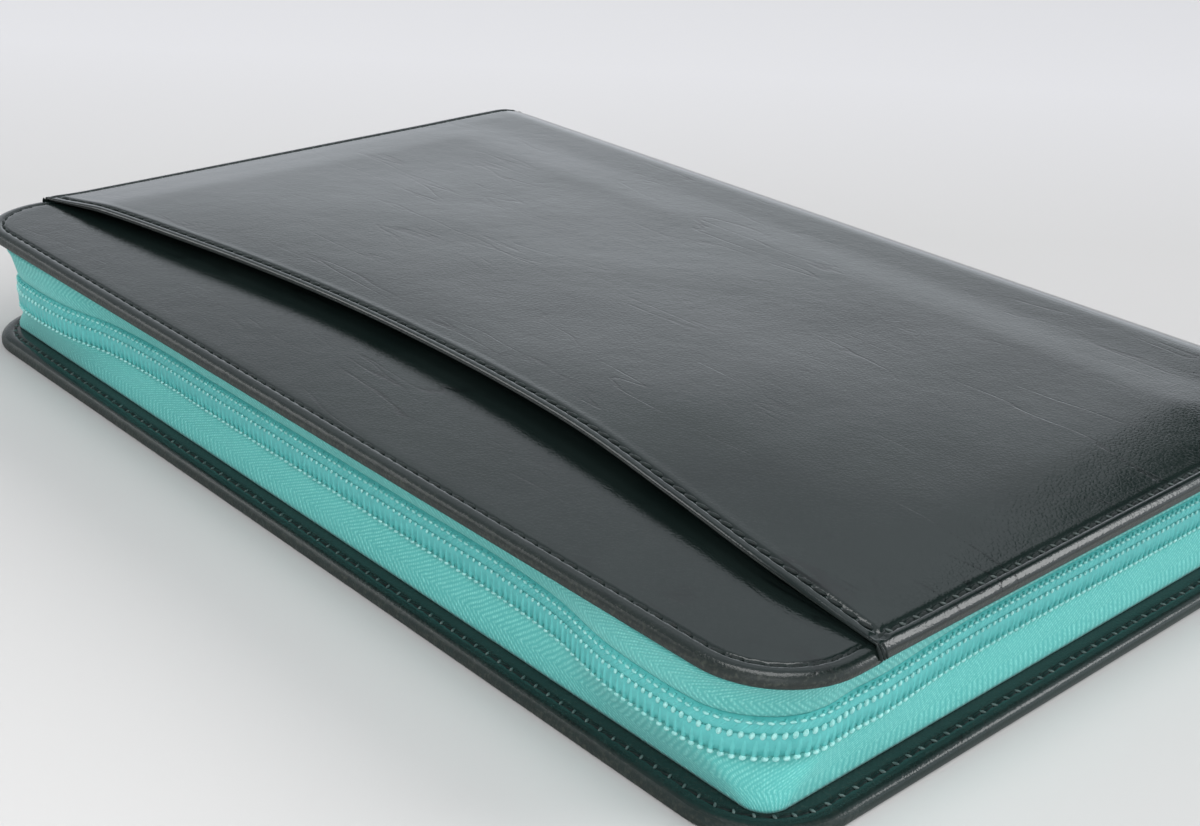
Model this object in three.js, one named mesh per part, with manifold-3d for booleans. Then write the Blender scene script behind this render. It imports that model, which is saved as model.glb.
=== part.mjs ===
// Zip-round leather notebook cover, lying on its back cover with the spine at +Y.
// Millimetres, +Z up, origin in the middle of the underside.
import * as THREE from 'three';
import { mergeVertices } from 'three/addons/utils/BufferGeometryUtils.js';
import Module from 'manifold-3d';

// Overall sizes
const LENGTH = 244;
const WIDTH = 165;
const CORNER_R = 16;
const GAP = 0.3;
const HALF_L = LENGTH / 2;
const FRONT_Y = -WIDTH / 2;

// Covers: leather turned in at the edge, thinner inside the turned hem
const COVER_T = 2.6;
const PANEL_T = 1.8;
const EDGE_ROUND = 0.9;
const HEM = 5.6;
const STRIP_TOP = 27.6;

// Pocket leather over the front panel, turned down over the short edges
const POCKET_T = 1.4;
const LIP_T = 1.3;
const LIP_ROUND = 0.9;
const POCKET_TOP = STRIP_TOP + GAP + POCKET_T;
const LIP_FOOT = STRIP_TOP - COVER_T;

// Spine: half a round between the pocket leather and the back cover
const SPINE_R = POCKET_TOP / 2;
const SPINE_T = 1.9;
const SPINE_Y = WIDTH / 2 - SPINE_R;
const SPINE_LAP = 2;
const SPINE_INNER = {
  z: (STRIP_TOP + GAP + PANEL_T) / 2,
  high: (STRIP_TOP + GAP - PANEL_T) / 2,
  deep: SPINE_R - SPINE_T,
};

// Pocket mouth: distance from the front edge, in the middle and at both ends
const MOUTH_MIDDLE = 27.4;
const MOUTH_END = 19;
// Clear height under the mouth, from the left end to the right end
const MOUTH_GAPS = [
  { x: -122, gap: 0.3 },
  { x: -95, gap: 1.7 },
  { x: -62, gap: 2.9 },
  { x: -20, gap: 3.1 },
  { x: 20, gap: 3.9 },
  { x: 52, gap: 4.7 },
  { x: 80, gap: 4.2 },
  { x: 104, gap: 2.4 },
  { x: 122, gap: 0.3 },
];
// Pocket leather from its turned mouth back to the spine
const MOUTH_FADE = 105;
const POCKET_DEPTH = SPINE_Y - FRONT_Y - MOUTH_MIDDLE;
const POCKET_ROWS = [
  { back: 0, thick: 1.0, raise: 0.5 },
  { back: 0.7, thick: 2.0, raise: 0 },
  { back: 4.4, thick: 2.0, raise: 0 },
  { back: 5.4, thick: POCKET_T, raise: 0 },
  { back: 16, thick: POCKET_T, raise: 0 },
  { back: 32, thick: POCKET_T, raise: 0 },
  { back: 52, thick: POCKET_T, raise: 0 },
  { back: 76, thick: POCKET_T, raise: 0 },
  { back: POCKET_DEPTH, thick: POCKET_T, raise: 0 },
];
const POCKET_COLUMNS = 18;

// Zip wall: each rail has a height, an inset from the covers' outline, its share
// of the bulge at the front corners and its own turning radius there
const TAPE_T = 1;
const LOWER_RAILS = [
  { z: 2.1, inset: 5.95, share: 0, turn: 4.5 },
  { z: 3.0, inset: 5.95, share: 0, turn: 4.5 },
  { z: 4.6, inset: 6.3, share: 0.2, turn: 6 },
  { z: 6.8, inset: 7.2, share: 0.55, turn: 8.5 },
  { z: 8.6, inset: 8.5, share: 0.9, turn: 10 },
  { z: 9.7, inset: 9.5, share: 1, turn: 10 },
  { z: 13.85, inset: 9.5, share: 1, turn: 10 },
];
const UPPER_RAILS = [
  { z: 14.15, inset: 9.5, share: 1, turn: 10 },
  { z: 18.3, inset: 9.5, share: 1, turn: 10 },
  { z: 19.4, inset: 8.5, share: 0.95, turn: 10.5 },
  { z: 21.6, inset: 6.9, share: 0.9, turn: 11 },
  { z: 23.4, inset: 6.1, share: 0.85, turn: 10 },
  { z: 24.6, inset: 5.95, share: 0, turn: 6 },
  { z: 25.5, inset: 5.95, share: 0, turn: 6 },
];
// Coil in section: height above the coil's foot and inset of its outer face
const COIL_SECTION = [
  { up: 0, inset: 8.4 },
  { up: 0.7, inset: 7.6 },
  { up: 1.9, inset: 7.2 },
  { up: 3.1, inset: 7.3 },
  { up: 3.75, inset: 7.7 },
];
const COIL_BACK = 9.2;
const COIL_TURN_CENTRE = 19.5;
const LOWER_COIL_Z = 10.1;
const UPPER_COIL_Z = 17.9;
// How far the zip stands out near a front corner; distance along it from the corner
const CORNER_BULGE = [
  { along: -80, out: 0 },
  { along: -57, out: 0 },
  { along: -41, out: 1.1 },
  { along: -29, out: 3.5 },
  { along: -20, out: 4.3 },
  { along: -9, out: 4.2 },
  { along: 0, out: 3.0 },
  { along: 12, out: 1.6 },
  { along: 20, out: 1.7 },
  { along: 38, out: 0.4 },
  { along: 52, out: 0 },
  { along: 80, out: 0 },
];
const FRONT_STEPS = [80, 57, 46, 37, 29, 21, 14, 7, 0];
const CORNER_STEPS = 6;
const SIDE_STEPS = [6, 13, 21, 32, 46, 80];
const TAPE_END_GAP = 0.4;
const COIL_END = SPINE_Y + 9;

// Slider on the left end of the zip, and its pull lying along the coil
const SLIDER = { length: 11, height: 8, back: 9.15, front: 5.3, round: 1.6 };
const SLIDER_END = SPINE_Y + 9;
const BRIDGE = { length: 6, height: 3.4, front: 3.8 };
const PULL = { length: 25, height: 5.6, back: 5.2, front: 3.9, eye: 1.3 };

const wasm = await Module();
wasm.setup();

// Closed geometry as a solid that can be joined and cut
function solidOf(geometry) {
  const bare = new THREE.BufferGeometry();
  bare.setAttribute('position', geometry.getAttribute('position').clone());
  if (geometry.index) bare.setIndex(geometry.index.clone());
  const merged = mergeVertices(bare, 1e-4);
  const mesh = new wasm.Mesh({
    numProp: 3,
    vertProperties: new Float32Array(merged.attributes.position.array),
    triVerts: new Uint32Array(merged.index.array),
  });
  return new wasm.Manifold(mesh);
}

// A solid back as flat-shaded geometry
function geometryOf(solid) {
  const mesh = solid.getMesh();
  const indexed = new THREE.BufferGeometry();
  indexed.setAttribute('position', new THREE.BufferAttribute(mesh.vertProperties, 3));
  indexed.setIndex(new THREE.BufferAttribute(mesh.triVerts, 1));
  const flat = indexed.toNonIndexed();
  flat.computeVertexNormals();
  return flat;
}

// Smooth values between the rows of a table
function smoothTable(rows, key, value) {
  const curve = new THREE.CubicInterpolant(
    rows.map((row) => row[key]),
    rows.map((row) => row[value]),
    1,
  );
  return (at) => Math.max(curve.evaluate(at)[0], 0);
}

// Six times the signed volume that a list of triangles encloses
function signedVolume(points, triangles) {
  let sum = 0;
  for (let i = 0; i < triangles.length; i += 3) {
    const [a, b, c] = [points[triangles[i]], points[triangles[i + 1]], points[triangles[i + 2]]];
    sum += a.dot(b.clone().cross(c));
  }
  return sum;
}

// A closed wall through stations, each a row of [outer, inner] points
function wall(stations) {
  const lastRow = stations.length - 1;
  const lastColumn = stations[0].length - 1;
  const points = stations.flat(2);
  const triangles = [];
  const outer = (i, j) => 2 * (i * (lastColumn + 1) + j);
  const inner = (i, j) => outer(i, j) + 1;
  const quad = (a, b, c, d) => triangles.push(a, b, c, a, c, d);
  for (let i = 0; i < lastRow; i += 1) {
    for (let j = 0; j < lastColumn; j += 1) {
      quad(outer(i, j), outer(i + 1, j), outer(i + 1, j + 1), outer(i, j + 1));
      quad(inner(i, j), inner(i, j + 1), inner(i + 1, j + 1), inner(i + 1, j));
    }
    quad(outer(i, 0), inner(i, 0), inner(i + 1, 0), outer(i + 1, 0));
    quad(
      outer(i, lastColumn),
      outer(i + 1, lastColumn),
      inner(i + 1, lastColumn),
      inner(i, lastColumn),
    );
  }
  for (let j = 0; j < lastColumn; j += 1) {
    quad(outer(0, j), outer(0, j + 1), inner(0, j + 1), inner(0, j));
    quad(outer(lastRow, j), inner(lastRow, j), inner(lastRow, j + 1), outer(lastRow, j + 1));
  }
  if (signedVolume(points, triangles) < 0) triangles.reverse();
  const geometry = new THREE.BufferGeometry().setFromPoints(points);
  geometry.setIndex(triangles);
  return geometry;
}

// Cover outline: rounded front corners and a straight back edge. From stepY on
// the sides stand in by sideStep.
function coverOutline(backY, stepY = backY, sideStep = 0) {
  const outline = new THREE.Shape();
  const cornerX = HALF_L - CORNER_R;
  const cornerY = FRONT_Y + CORNER_R;
  outline.moveTo(-HALF_L, stepY);
  outline.lineTo(-HALF_L, cornerY);
  outline.absarc(-cornerX, cornerY, CORNER_R, Math.PI, 1.5 * Math.PI, false);
  outline.absarc(cornerX, cornerY, CORNER_R, 1.5 * Math.PI, 2 * Math.PI, false);
  outline.lineTo(HALF_L, stepY);
  if (sideStep > 0) {
    outline.lineTo(HALF_L - sideStep, stepY);
    outline.lineTo(HALF_L - sideStep, backY);
    outline.lineTo(-HALF_L + sideStep, backY);
    outline.lineTo(-HALF_L + sideStep, stepY);
  }
  outline.closePath();
  return outline;
}

// A cover with rounded edges, standing on z
function coverSlab(outline, z) {
  const slab = new THREE.ExtrudeGeometry(outline, {
    depth: COVER_T - 2 * EDGE_ROUND,
    bevelThickness: EDGE_ROUND,
    bevelSize: EDGE_ROUND,
    bevelOffset: -EDGE_ROUND,
    bevelSegments: 3,
    curveSegments: 10,
  });
  slab.translate(0, 0, z + EDGE_ROUND);
  return solidOf(slab);
}

// The shallow space inside a cover's turned hem, open towards the spine
function hemRecess(z) {
  const backY = WIDTH;
  const depth = COVER_T - PANEL_T;
  const recess = new THREE.BoxGeometry(LENGTH - 2 * HEM, backY - FRONT_Y - HEM, depth);
  recess.translate(0, (backY + FRONT_Y + HEM) / 2, z + depth / 2);
  return solidOf(recess);
}

// A profile drawn in Y and Z, run along X over the whole length
function alongLength(profile) {
  const geometry = new THREE.ExtrudeGeometry(profile, {
    depth: LENGTH,
    bevelEnabled: false,
    curveSegments: 20,
  });
  const axes = new THREE.Matrix4().makeBasis(
    new THREE.Vector3(0, 1, 0),
    new THREE.Vector3(0, 0, 1),
    new THREE.Vector3(1, 0, 0),
  );
  geometry.applyMatrix4(axes);
  geometry.translate(-HALF_L, 0, 0);
  return geometry;
}

function spineShell() {
  const inner = SPINE_INNER;
  const profile = new THREE.Shape();
  const lapY = SPINE_Y - SPINE_LAP;
  profile.moveTo(lapY, POCKET_TOP);
  profile.lineTo(lapY, inner.z + inner.high);
  profile.absellipse(SPINE_Y, inner.z, inner.deep, inner.high, Math.PI / 2, -Math.PI / 2, true);
  profile.lineTo(lapY, inner.z - inner.high);
  profile.lineTo(lapY, 0);
  profile.absarc(SPINE_Y, SPINE_R, SPINE_R, -Math.PI / 2, Math.PI / 2, false);
  profile.closePath();
  return solidOf(alongLength(profile));
}

const mouthGap = smoothTable(MOUTH_GAPS, 'x', 'gap');

// Distance of the pocket mouth from the front edge at x
function mouthSetback(x) {
  const mean = (MOUTH_MIDDLE + MOUTH_END) / 2;
  const swing = (MOUTH_MIDDLE - MOUTH_END) / 2;
  return mean + swing * Math.cos((Math.PI * x) / HALF_L);
}

// Underside of the pocket leather, back mm behind its mouth
function pocketUnderside(x, row) {
  const fade = 1 - THREE.MathUtils.smoothstep(row.back, 0, MOUTH_FADE);
  return STRIP_TOP + GAP + (mouthGap(x) - GAP) * fade + row.raise;
}

function pocketPair(x, row) {
  const mouthY = FRONT_Y + mouthSetback(x);
  const y = mouthY + (SPINE_Y - mouthY) * (row.back / POCKET_DEPTH);
  const under = pocketUnderside(x, row);
  return [new THREE.Vector3(x, y, under + row.thick), new THREE.Vector3(x, y, under)];
}

// One short edge of the pocket leather: its turned-down lip, then the rounded edge
function pocketLip(side, row) {
  const edge = pocketPair(side * HALF_L, row);
  const top = edge[0].z;
  const under = edge[1].z;
  const y = edge[0].y;
  const place = (inset, z) => new THREE.Vector3(side * (HALF_L - inset), y, z);
  return [
    [place(0.35, LIP_FOOT), place(LIP_T, LIP_FOOT)],
    [place(0, LIP_FOOT + 0.5), place(LIP_T, LIP_FOOT + 0.5)],
    [place(0, top - LIP_ROUND), place(LIP_T, under - 0.35)],
    [place(0.27 * LIP_ROUND, top - 0.27 * LIP_ROUND), place(LIP_T + 0.15, under - 0.15)],
    [place(LIP_ROUND, top), place(LIP_T + 0.5, under)],
  ];
}

function pocketLeather() {
  const inset = LIP_T + 1.2;
  const stations = POCKET_ROWS.map((row) => {
    const across = [];
    for (let i = 0; i <= POCKET_COLUMNS; i += 1) {
      const x = THREE.MathUtils.lerp(-HALF_L + inset, HALF_L - inset, i / POCKET_COLUMNS);
      across.push(pocketPair(x, row));
    }
    return [...pocketLip(-1, row), ...across, ...pocketLip(1, row).reverse()];
  });
  return solidOf(wall(stations));
}

function leatherWrap() {
  const back = coverSlab(coverOutline(SPINE_Y + EDGE_ROUND), 0).subtract(hemRecess(PANEL_T));
  return geometryOf(back.add(spineShell()).add(pocketLeather()));
}

function frontPanel() {
  const mouthEnd = FRONT_Y + mouthSetback(HALF_L);
  const outline = coverOutline(SPINE_Y - SPINE_LAP - GAP, mouthEnd - GAP, LIP_T + GAP);
  const slab = coverSlab(outline, STRIP_TOP - COVER_T);
  return geometryOf(slab.subtract(hemRecess(STRIP_TOP - COVER_T)));
}

const cornerBulge = smoothTable(CORNER_BULGE, 'along', 'out');

// Steps along the zip on one side, from the middle of the front to the spine
function zipSteps(side) {
  const front = FRONT_STEPS.map((back) => ({ side, back }));
  const corner = [];
  for (let i = 1; i <= CORNER_STEPS; i += 1) {
    corner.push({ side, angle: (0.5 * Math.PI * i) / CORNER_STEPS });
  }
  const ends = [...SIDE_STEPS.map((on) => ({ side, on })), { side, last: true }];
  return [...front, ...corner, ...ends];
}
const ZIP_STEPS = [...zipSteps(-1).reverse(), ...zipSteps(1)];

// Where the zip ends inside the rounded spine, at height z
function spineInside(z) {
  const high = (z - SPINE_INNER.z) / SPINE_INNER.high;
  return SPINE_Y + SPINE_INNER.deep * Math.sqrt(1 - high * high) - TAPE_END_GAP;
}

// A point of a rail at one step, on the right-hand side, mirrored for the left
function railPoint(rail, step) {
  const centreX = HALF_L - rail.inset - rail.turn;
  const centreY = FRONT_Y + rail.inset + rail.turn;
  const halfArc = (rail.turn * Math.PI) / 4;
  const stopY = rail.stop ? rail.stop(step.side) : spineInside(rail.z);
  let angle = 0;
  let before = 0;
  let after = 0;
  if (step.back !== undefined) before = step.back;
  if (step.angle !== undefined) angle = step.angle;
  if (step.on !== undefined) after = step.on;
  if (step.last) after = stopY - centreY;
  if (step.on !== undefined || step.last) angle = Math.PI / 2;
  const along = rail.turn * angle - halfArc - before + after;
  const out = rail.turn + rail.share * cornerBulge(THREE.MathUtils.clamp(along, -80, 80));
  const x = centreX - before + out * Math.sin(angle);
  const y = centreY + after - out * Math.cos(angle);
  return new THREE.Vector3(step.side * x, y, rail.z);
}

function tape(rails) {
  return wall(ZIP_STEPS.map((step) => rails.map((rail) => {
    const inside = { ...rail, inset: rail.inset + TAPE_T, turn: rail.turn - TAPE_T };
    return [railPoint(rail, step), railPoint(inside, step)];
  })));
}

// A coil from its foot, running up or down towards the middle of the zip
function coil(footZ, direction) {
  const stop = (side) => (side < 0 ? SLIDER_END - SLIDER.length - GAP : COIL_END);
  return wall(ZIP_STEPS.map((step) => COIL_SECTION.map((row) => {
    const z = footZ + direction * row.up;
    const at = (inset) => ({ z, inset, share: 1, turn: COIL_TURN_CENTRE - inset, stop });
    const face = at(row.inset);
    const back = at(COIL_BACK);
    return [railPoint(face, step), railPoint(back, step)];
  })));
}

// A plate on the left side of the zip, lying between two insets
function leftPlate(size, backInset, frontInset, endY, round, eye) {
  const low = -size.height / 2;
  const plate = new THREE.Shape();
  plate.moveTo(round, low);
  plate.lineTo(size.length - round, low);
  plate.quadraticCurveTo(size.length, low, size.length, low + round);
  plate.lineTo(size.length, -low - round);
  plate.quadraticCurveTo(size.length, -low, size.length - round, -low);
  plate.lineTo(round, -low);
  plate.quadraticCurveTo(0, -low, 0, -low - round);
  plate.lineTo(0, low + round);
  plate.quadraticCurveTo(0, low, round, low);
  if (eye > 0) {
    const hole = new THREE.Path();
    hole.absarc(2.6, 0, eye, 0, 2 * Math.PI, true);
    plate.holes.push(hole);
  }
  const geometry = new THREE.ExtrudeGeometry(plate, {
    depth: backInset - frontInset,
    bevelEnabled: false,
    curveSegments: 6,
  });
  const axes = new THREE.Matrix4().makeBasis(
    new THREE.Vector3(0, 1, 0),
    new THREE.Vector3(0, 0, 1),
    new THREE.Vector3(1, 0, 0),
  );
  geometry.applyMatrix4(axes);
  const midZ = (LOWER_COIL_Z + UPPER_COIL_Z) / 2;
  geometry.translate(frontInset - HALF_L, endY - size.length, midZ);
  return solidOf(geometry);
}

function zipSlider() {
  const body = leftPlate(SLIDER, SLIDER.back, SLIDER.front, SLIDER_END, SLIDER.round, 0);
  const bridge = leftPlate(BRIDGE, SLIDER.front + 0.5, BRIDGE.front, SLIDER_END - 3, 1.2, 0);
  const pull = leftPlate(PULL, PULL.back, PULL.front, SLIDER_END - 5.5, 1.8, PULL.eye);
  return geometryOf(body.add(bridge).add(pull));
}

const LEATHER = { color: 0x1b2524, roughness: 0.3, metalness: 0 };
const CLOTH = { color: 0x52b0a8, roughness: 0.85, metalness: 0 };
const NYLON = { color: 0x3f9c95, roughness: 0.45, metalness: 0 };
const METAL = { color: 0x3a3d3e, roughness: 0.35, metalness: 0.8 };

const PIECES = [
  { name: 'leather_wrap', geometry: leatherWrap(), finish: LEATHER },
  { name: 'front_panel', geometry: frontPanel(), finish: LEATHER },
  { name: 'zip_tape_upper', geometry: tape(UPPER_RAILS), finish: CLOTH },
  { name: 'zip_tape_lower', geometry: tape(LOWER_RAILS), finish: CLOTH },
  { name: 'zip_coil_upper', geometry: coil(UPPER_COIL_Z, -1), finish: NYLON },
  { name: 'zip_coil_lower', geometry: coil(LOWER_COIL_Z, 1), finish: NYLON },
  { name: 'zip_slider', geometry: zipSlider(), finish: METAL },
];

const clutch = new THREE.Group();
clutch.name = 'notebook_cover_clutch';
for (const piece of PIECES) {
  const mesh = new THREE.Mesh(piece.geometry, new THREE.MeshStandardMaterial(piece.finish));
  mesh.name = piece.name;
  clutch.add(mesh);
}

export default clutch;
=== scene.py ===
"""A zip-round leather notebook cover with an outside pocket, lying shut: how it looks."""
import math

import bmesh
import bpy
from mathutils import Matrix, Vector, noise


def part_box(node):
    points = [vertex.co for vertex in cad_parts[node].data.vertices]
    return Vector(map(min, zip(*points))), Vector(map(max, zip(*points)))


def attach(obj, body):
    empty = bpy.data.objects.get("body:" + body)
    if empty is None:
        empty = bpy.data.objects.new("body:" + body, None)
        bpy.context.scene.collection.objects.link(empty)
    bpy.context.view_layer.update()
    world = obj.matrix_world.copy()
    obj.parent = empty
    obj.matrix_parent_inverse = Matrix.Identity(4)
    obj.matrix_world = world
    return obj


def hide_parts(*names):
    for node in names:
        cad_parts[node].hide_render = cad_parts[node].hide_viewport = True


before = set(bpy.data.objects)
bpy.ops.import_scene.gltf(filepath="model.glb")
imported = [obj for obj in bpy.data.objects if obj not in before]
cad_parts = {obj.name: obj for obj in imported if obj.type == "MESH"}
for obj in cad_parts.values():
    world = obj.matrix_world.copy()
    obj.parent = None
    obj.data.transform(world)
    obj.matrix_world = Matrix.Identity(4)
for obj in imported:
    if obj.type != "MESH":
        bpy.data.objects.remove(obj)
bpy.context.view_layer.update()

MM = 0.001
UP = Vector((0, 0, 1))
TINY = 0.01 * MM


def mm(*sizes):
    """Millimetres as metres."""
    return tuple(size * MM for size in sizes)


# Covers: outline, thicknesses and levels, as in the solids.
HALF_L = 122 * MM
FRONT_Y = -82.5 * MM
CORNER_R = 16 * MM
COVER_T = 2.6 * MM
STRIP_TOP = 27.6 * MM
LIP_FOOT = 25.0 * MM
PANEL_REAR = 65.55 * MM
LIP_STEP = 1.6 * MM
SPINE_Y = 67.85 * MM
SPINE_R = 14.65 * MM
SPINE_LIP = 1.9 * MM
BACK_REAR = SPINE_Y + 1 * MM
STRIP_LAP = 0.8 * MM
BACK_SEAM_END = SPINE_Y - 2 * MM

# Covers: width and height of the rounded upper and under edge, then insets and falls of the sewn upper face,
# in millimetres, and how deep the holes and how high the puffs of its seam are in the rings beside it.
CORNER_STEPS = 14
NOSE_STEPS = 6
EDGE_STEP = 1.5 * MM
REAR_SHARE = 0.25
UNDER_INSET = 4 * MM
FRONT_NOSES = (mm(1.7, 1.35), mm(1.2, 1.15))
BACK_NOSES = (mm(2.0, 1.6), mm(0.5, 0.6))
FRONT_LOOPS = [(0.45, 0), (0.4, 0.06), (0.4, 0.24), (0.4, -0.24), (0.5, -0.06), (1.6, 0)]
BACK_LOOPS = [(0.3, 0), (0.4, 0.06), (0.4, 0.24), (0.4, -0.24), (0.45, -0.06), (0.7, 0), (1.2, 0)]
SEAM_LOOP = 2
SEAM_PUCKERS = ((-1, 0.4, 0.7), (0, 1.0, 0.3), (1, 0.4, 0.7))

# Pocket: its mouth line and gap in millimetres, then walls, falls and ripples with the bands they fade in.
MOUTH_LINE = [(-122, 18.7), (-100, 22.0), (-75, 25.2), (-50, 28.7), (-25, 31.2), (0, 31.9), (25, 31.2),
              (50, 29.1), (75, 25.4), (100, 21.6), (122, 20.1)]
MOUTH_GAPS = [(-122, 0.1), (-112, 0.8), (-100, 1.65), (-75, 2.3), (-50, 2.45), (-25, 2.42), (0, 2.55),
              (25, 2.8), (50, 2.9), (75, 2.3), (100, 1.5), (112, 0.8), (122, 0.1)]
LIFT_REACH = 105 * MM
REST_GAP = 0.35 * MM
POCKET_DEPTH = 122.95 * MM
POCKET_WALL = 1.2 * MM
HEM_WALL = 1.25 * MM
HEM_FOLD = mm(3.2, 4.6)
HEM_REACH = 7 * MM
HEM_SKIN = 0.3
END_SHARE = 0.5
END_BAND = mm(1, 20)
EDGE_FALL = 0.2 * MM
EDGE_FALL_SIDE = mm(1, 9)
EDGE_FALL_MOUTH = mm(2, 9)
REAR_FALL = 0.6 * MM
REAR_FALL_BAND = mm(96, 114)
RIPPLES = ((0.20 * MM, 46 * MM, 2.3), (0.07 * MM, 19 * MM, 7.1))
RIPPLE_SIDE = mm(3, 26)
RIPPLE_MOUTH = mm(4, 24)
RIPPLE_REAR = mm(104, 114)

# Pocket: side lip as inset, fall and turn, mouth edge as way back and depth, and its rows and columns.
LIP_R = 1.3 * MM
LIP_CURL = 1.2 * MM
LIP_STEPS = 7
LIP_BEND = [(0, 1.3, 90), (0.03, 1.1, 74), (0.14, 0.86, 52), (0.36, 0.62, 43), (0.58, 0.38, 42),
            (0.8, 0.14, 34), (1.0, 0.03, 12)]
SIDE_COLUMNS = (1.4, 1.6, 1.8, 2.0, 2.2, 2.4, 2.6, 2.8, 3.05, 3.4, 4.0, 4.7, 5.6)
FLAT_COLUMNS = 77
MOUTH_EDGE = [(4.2, 1.25), (3.2, 1.25), (2.2, 1.25), (1.4, 1.25), (0.85, 1.22), (0.45, 1.14), (0.2, 0.98),
              (0.12, 0.82), (0.2, 0.7), (0.36, 0.62), (0.14, 0.56), (0.01, 0.47), (0.03, 0.36),
              (0.15, 0.23), (0.27, 0.10), (0.45, 0.02)]
HEM_ROWS = [0.8, 1.1, 1.35, 1.6, 1.8, 2.0, 2.2, 2.45, 2.75, 3.1, 3.5, 3.9, 4.3, 4.7, 5.2, 5.9, 6.8]
FIELD_START = HEM_ROWS[-1] * MM
FIELD_STEP = 1.43 * MM
FIELD_COUNT = 2 * round((POCKET_DEPTH - FIELD_START) / (2 * FIELD_STEP))
SPINE_STEPS = 30
SPINE_LIP_MORE = 1.6 * MM
SPINE_LIP_TURN = (0, 1.1)
SPINE_FALL_TURN = (0.1, 1.1)

# Stitch channels of the pocket.
SIDE_SEAM = 2.4 * MM
MOUTH_SEAM = 2.0 * MM
STITCH_PITCH = 3.0 * MM
CHANNEL_W = 0.8 * MM
CHANNEL_INNER_W = 1.15 * CHANNEL_W
CHANNEL_D = 0.34 * MM
PUCKER = 0.12 * MM

# Wear: of the pocket's lip and mouth, and of each cover as reach of its rubbed nose and least elsewhere.
LIP_WEAR = 0.6
LIP_WEAR_TURN = (1.2, 1.9)
MOUTH_WEAR = 0.45
MOUTH_WEAR_BACK = 0.8 * MM
MOUTH_WEAR_DEEP = 0.6 * MM
FRONT_WEAR = (1.5 * MM, 0)
BACK_WEAR = (1.9 * MM, 0.3)
WEAR_START = 0.1
TOP_SPARED = 0.5
TOP_BAND = (0.35 * COVER_T, 0.95 * COVER_T)
SIDES_SPARED = 0.9
SIDES_BAND = (FRONT_Y + 0.6 * CORNER_R, FRONT_Y + 1.6 * CORNER_R)
RIM_BAND = (0, 2.5 * MM)

# Stitches and knots: half length, width and height, lean, and lift off the leather; balls as sides and rings.
STITCH = mm(1.26, 0.48, 0.32)
STITCH_LEAN = math.radians(13)
STITCH_LIFT = 0.04 * MM
SPINE_STITCH_LIFT = 0.06 * MM
STITCH_BALL = (8, 5)
MOUTH_STEPS = 79
SIDE_LEAD = 4
KNOT = mm(0.6, 0.27, 0.26)
KNOT_LEAN = 0.4
KNOT_BALL = (6, 4)
HEM_KNOT_LIFT = 0.16 * MM
SIDE_KNOT_LIFT = 0.2 * MM
WRAP_STITCH = mm(1.25, 0.32, 0.3)
WRAP_PLACES = mm(-0.05, 0.55, 1.15)
WRAP_INSET = 0.25 * MM
WRAP_Z = 27.2 * MM
WRAP_LEAN = (0.45, 0.1)
WRAP_FACE = 0.4

# Zip tapes: rails as height, inset, share of the corner swelling and corner radius, and the swelling itself.
LOWER_RAILS = [(2.62, 5.95, 0, 4.5), (3.4, 5.95, 0.04, 4.8), (4.6, 6.3, 0.2, 6), (6.8, 7.2, 0.55, 8.5),
               (8.6, 8.2, 0.9, 10.6), (9.7, 8.8, 1, 10.7), (10.6, 9.45, 1, 10), (13.85, 9.5, 1, 10)]
UPPER_RAILS = [(14.15, 9.5, 1, 10), (15.9, 9.4, 1, 10.1), (16.6, 8.3, 1, 11.2), (17.3, 7.8, 1, 11.7),
               (18.6, 7.3, 0.98, 12), (20.2, 6.9, 0.94, 11.8), (21.9, 6.5, 0.9, 11.2),
               (23.4, 6.1, 0.85, 10), (24.5, 5.95, 0.1, 6.4), (24.97, 5.95, 0, 6)]
CORNER_BULGE = [(-80, 0), (-57, 0), (-41, 1.1), (-29, 3.5), (-20, 4.3), (-9, 4.2), (0, 3.0), (12, 1.6),
                (20, 1.7), (38, 0.4), (52, 0), (80, 0)]
TAPE_ROWS = 20
TAPE_WALL = 0.7 * MM
FRONT_STEPS = 66
TURN_STEPS = 16
SIDE_STEPS = 88
STRAIGHT_FRONT = ("front", 0.5)
SPINE_INNER_Z = 14.85 * MM
SPINE_INNER_HIGH = 13.05 * MM
SPINE_INNER_DEEP = 12.75 * MM
SPINE_CLEAR = 0.5 * MM

# Zip chain: section of each coil as height and inset, in millimetres, its teeth, and where its ends stop.
LOWER_COIL = [(9.9, 8.5), (10.5, 7.7), (11.8, 7.25), (13.5, 7.25), (14.1, 7.4)]
UPPER_COIL = [(14.14, 7.4), (14.7, 7.25), (15.7, 7.3), (16.3, 7.65), (16.65, 8.4)]
COIL_BACK = 9.2 * MM
COIL_TURN_CENTRE = 19.5 * MM
CORE_SUNK = 0.05 * MM
TOOTH_PITCH = 1.55 * MM
TOOTH_SUNK = 0.08 * MM
TOOTH_BALL = (8, 6)
LOWER_TOOTH = mm(0.56, 0.5)
UPPER_TOOTH = mm(0.34, 0.5)
LOWER_LEAN = 0.05
UPPER_LEAN = 0.9
LEFT_END = SPINE_Y - 2.3 * MM
RIGHT_END = SPINE_Y + 9 * MM

# Sewing of the chain and its tooth heads where it meets, which are pale beads of painted highlight: height
# and inset of each row, half sizes of its stitches and heads, their way out and lean.
EDGE_ROW = mm(10.15, 7.62)
DASH = mm(0.54, 0.27, 0.27)
DASH_OUT = 0.15 * MM
DASH_LEAN = 0.25
MEET_ROW = mm(14.05, 7.4)
GRAIN = mm(0.42, 0.29, 0.24)
GRAIN_OUT = 0.1 * MM
GRAIN_LEAN = 0.3
UPPER_ROW = mm(16.2, 7.4)
UPPER_START = 1.0 * MM
SPECK = mm(0.52, 0.24, 0.22)
SPECK_OUT = 0.1 * MM
SPECK_LEAN = -0.12
SPECK_BALL = (6, 5)
CORNER_GROWTH = 0.5
FAN_CENTRE = mm(112, -72)
FAN_BAND = mm(8, 34)

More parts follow.
